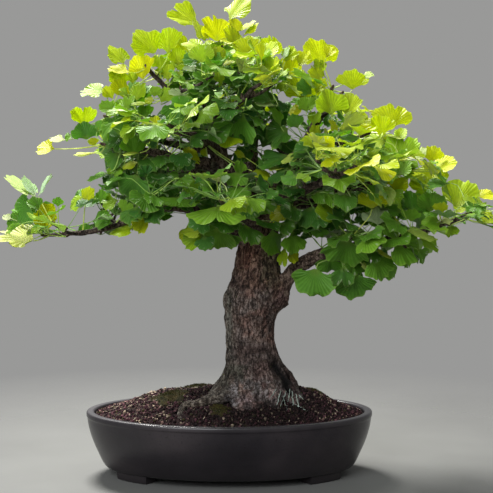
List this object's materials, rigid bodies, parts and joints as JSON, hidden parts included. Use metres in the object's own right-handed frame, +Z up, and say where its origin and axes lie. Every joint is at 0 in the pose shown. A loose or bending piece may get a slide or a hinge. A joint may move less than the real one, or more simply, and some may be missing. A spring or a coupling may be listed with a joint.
{
  "type": "ginkgo bonsai",
  "caption": "Informal upright ginkgo bonsai with a flared trunk and a wide crown of fan-shaped leaves, in a shallow oval glazed pot with feet.",
  "frame": {"origin": "the middle of the bounding box seen from above, on the surface under the pot's feet", "axes": "+Z up, +X to the right along the pot's length, the tree's front faces -Y"},
  "size_m": [0.5366, 0.3856, 0.5131],
  "materials": {
    "bark": "rough, fissured bark",
    "leaf": "satin living leaf",
    "glaze": "semi-gloss dark glaze",
    "soil": "rough granules",
    "moss": "fuzzy moss",
    "screen": "matte moulded mesh",
    "wire": "copper-coloured anodised wire"
  },
  "bodies": {
    "root": {"trunk_and_branches": "bark", "pot": "glaze", "soil": "soil", "moss_left": "moss", "moss_front": "moss", "moss_right": "moss", "moss_back": "moss", "drainage_screen_left": "screen", "drainage_screen_right": "screen", "screen_wire_left": "wire", "screen_wire_right": "wire", "leaf_cluster_01": "leaf", "leaf_cluster_02": "leaf", "leaf_cluster_03": "leaf", "leaf_cluster_04": "leaf", "leaf_cluster_05": "leaf", "leaf_cluster_06": "leaf", "leaf_cluster_07": "leaf", "leaf_cluster_08": "leaf", "leaf_cluster_09": "leaf", "leaf_cluster_10": "leaf", "leaf_cluster_11": "leaf", "leaf_cluster_12": "leaf", "leaf_cluster_13": "leaf", "leaf_cluster_14": "leaf", "leaf_cluster_15": "leaf", "leaf_cluster_16": "leaf", "leaf_cluster_17": "leaf", "leaf_cluster_18": "leaf", "leaf_cluster_19": "leaf", "leaf_cluster_20": "leaf", "leaf_cluster_21": "leaf", "leaf_cluster_22": "leaf", "leaf_cluster_23": "leaf", "leaf_cluster_24": "leaf", "leaf_cluster_25": "leaf", "leaf_cluster_26": "leaf", "leaf_cluster_27": "leaf", "leaf_cluster_28": "leaf", "leaf_cluster_29": "leaf", "leaf_cluster_30": "leaf", "leaf_cluster_31": "leaf", "leaf_cluster_32": "leaf", "leaf_cluster_33": "leaf", "leaf_cluster_34": "leaf", "leaf_cluster_35": "leaf", "leaf_cluster_36": "leaf", "leaf_cluster_37": "leaf", "leaf_cluster_38": "leaf", "leaf_cluster_39": "leaf", "leaf_cluster_40": "leaf", "leaf_cluster_41": "leaf", "leaf_cluster_42": "leaf", "leaf_cluster_43": "leaf", "leaf_cluster_44": "leaf", "leaf_cluster_45": "leaf", "leaf_cluster_46": "leaf", "leaf_cluster_47": "leaf", "leaf_cluster_48": "leaf", "leaf_cluster_49": "leaf"}
  },
  "joints": []
}
